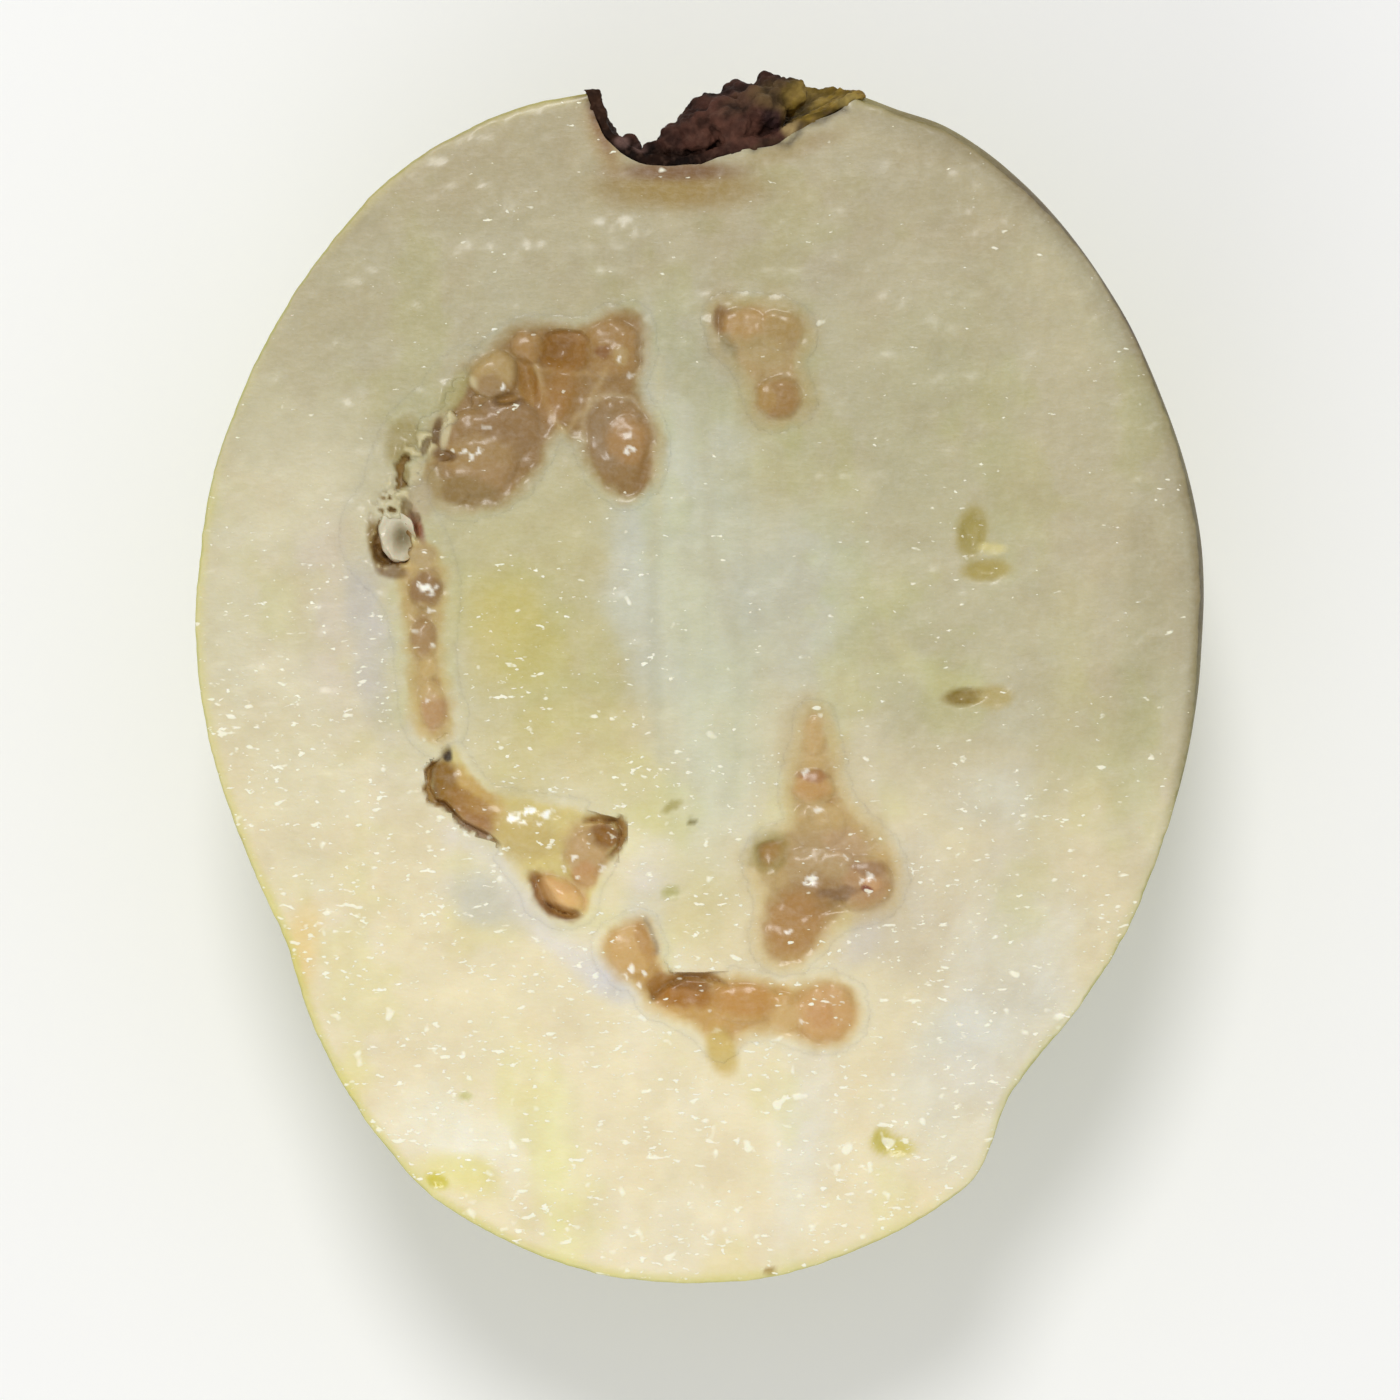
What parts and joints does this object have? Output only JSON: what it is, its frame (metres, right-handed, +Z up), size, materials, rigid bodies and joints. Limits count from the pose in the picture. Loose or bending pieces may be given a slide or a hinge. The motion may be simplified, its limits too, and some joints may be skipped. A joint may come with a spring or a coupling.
{
  "type": "guava half",
  "caption": "Half of a white-fleshed guava cut lengthwise, lying on its round back with the cut face up, with seed pockets and a dried calyx.",
  "frame": {"origin": "centre of the bounding box's bottom, on the small flat spot that the half lies on", "axes": "+X across the cut face, to the right as the picture shows it, +Y from the stem end to the calyx end, +Z up out of the cut face"},
  "size_m": [0.0756, 0.0903, 0.0371],
  "materials": {
    "flesh": "wet, granular, slightly translucent white guava flesh, with a thin yellow-green skin on the back",
    "dried_calyx": "dry, crusty, dark maroon-brown",
    "seed_pulp": "wet, glassy, translucent tan pulp with orange-brown seeds in it",
    "cut_seed": "pale cut seed, damp"
  },
  "bodies": {
    "root": {"flesh": "flesh", "calyx": "dried_calyx", "seeds_upper_left": "seed_pulp", "seeds_left": "seed_pulp", "seeds_lower_left": "seed_pulp", "seeds_bottom": "seed_pulp", "seeds_lower_right": "seed_pulp", "seeds_upper_right": "seed_pulp", "seed_white": "cut_seed"}
  },
  "joints": []
}
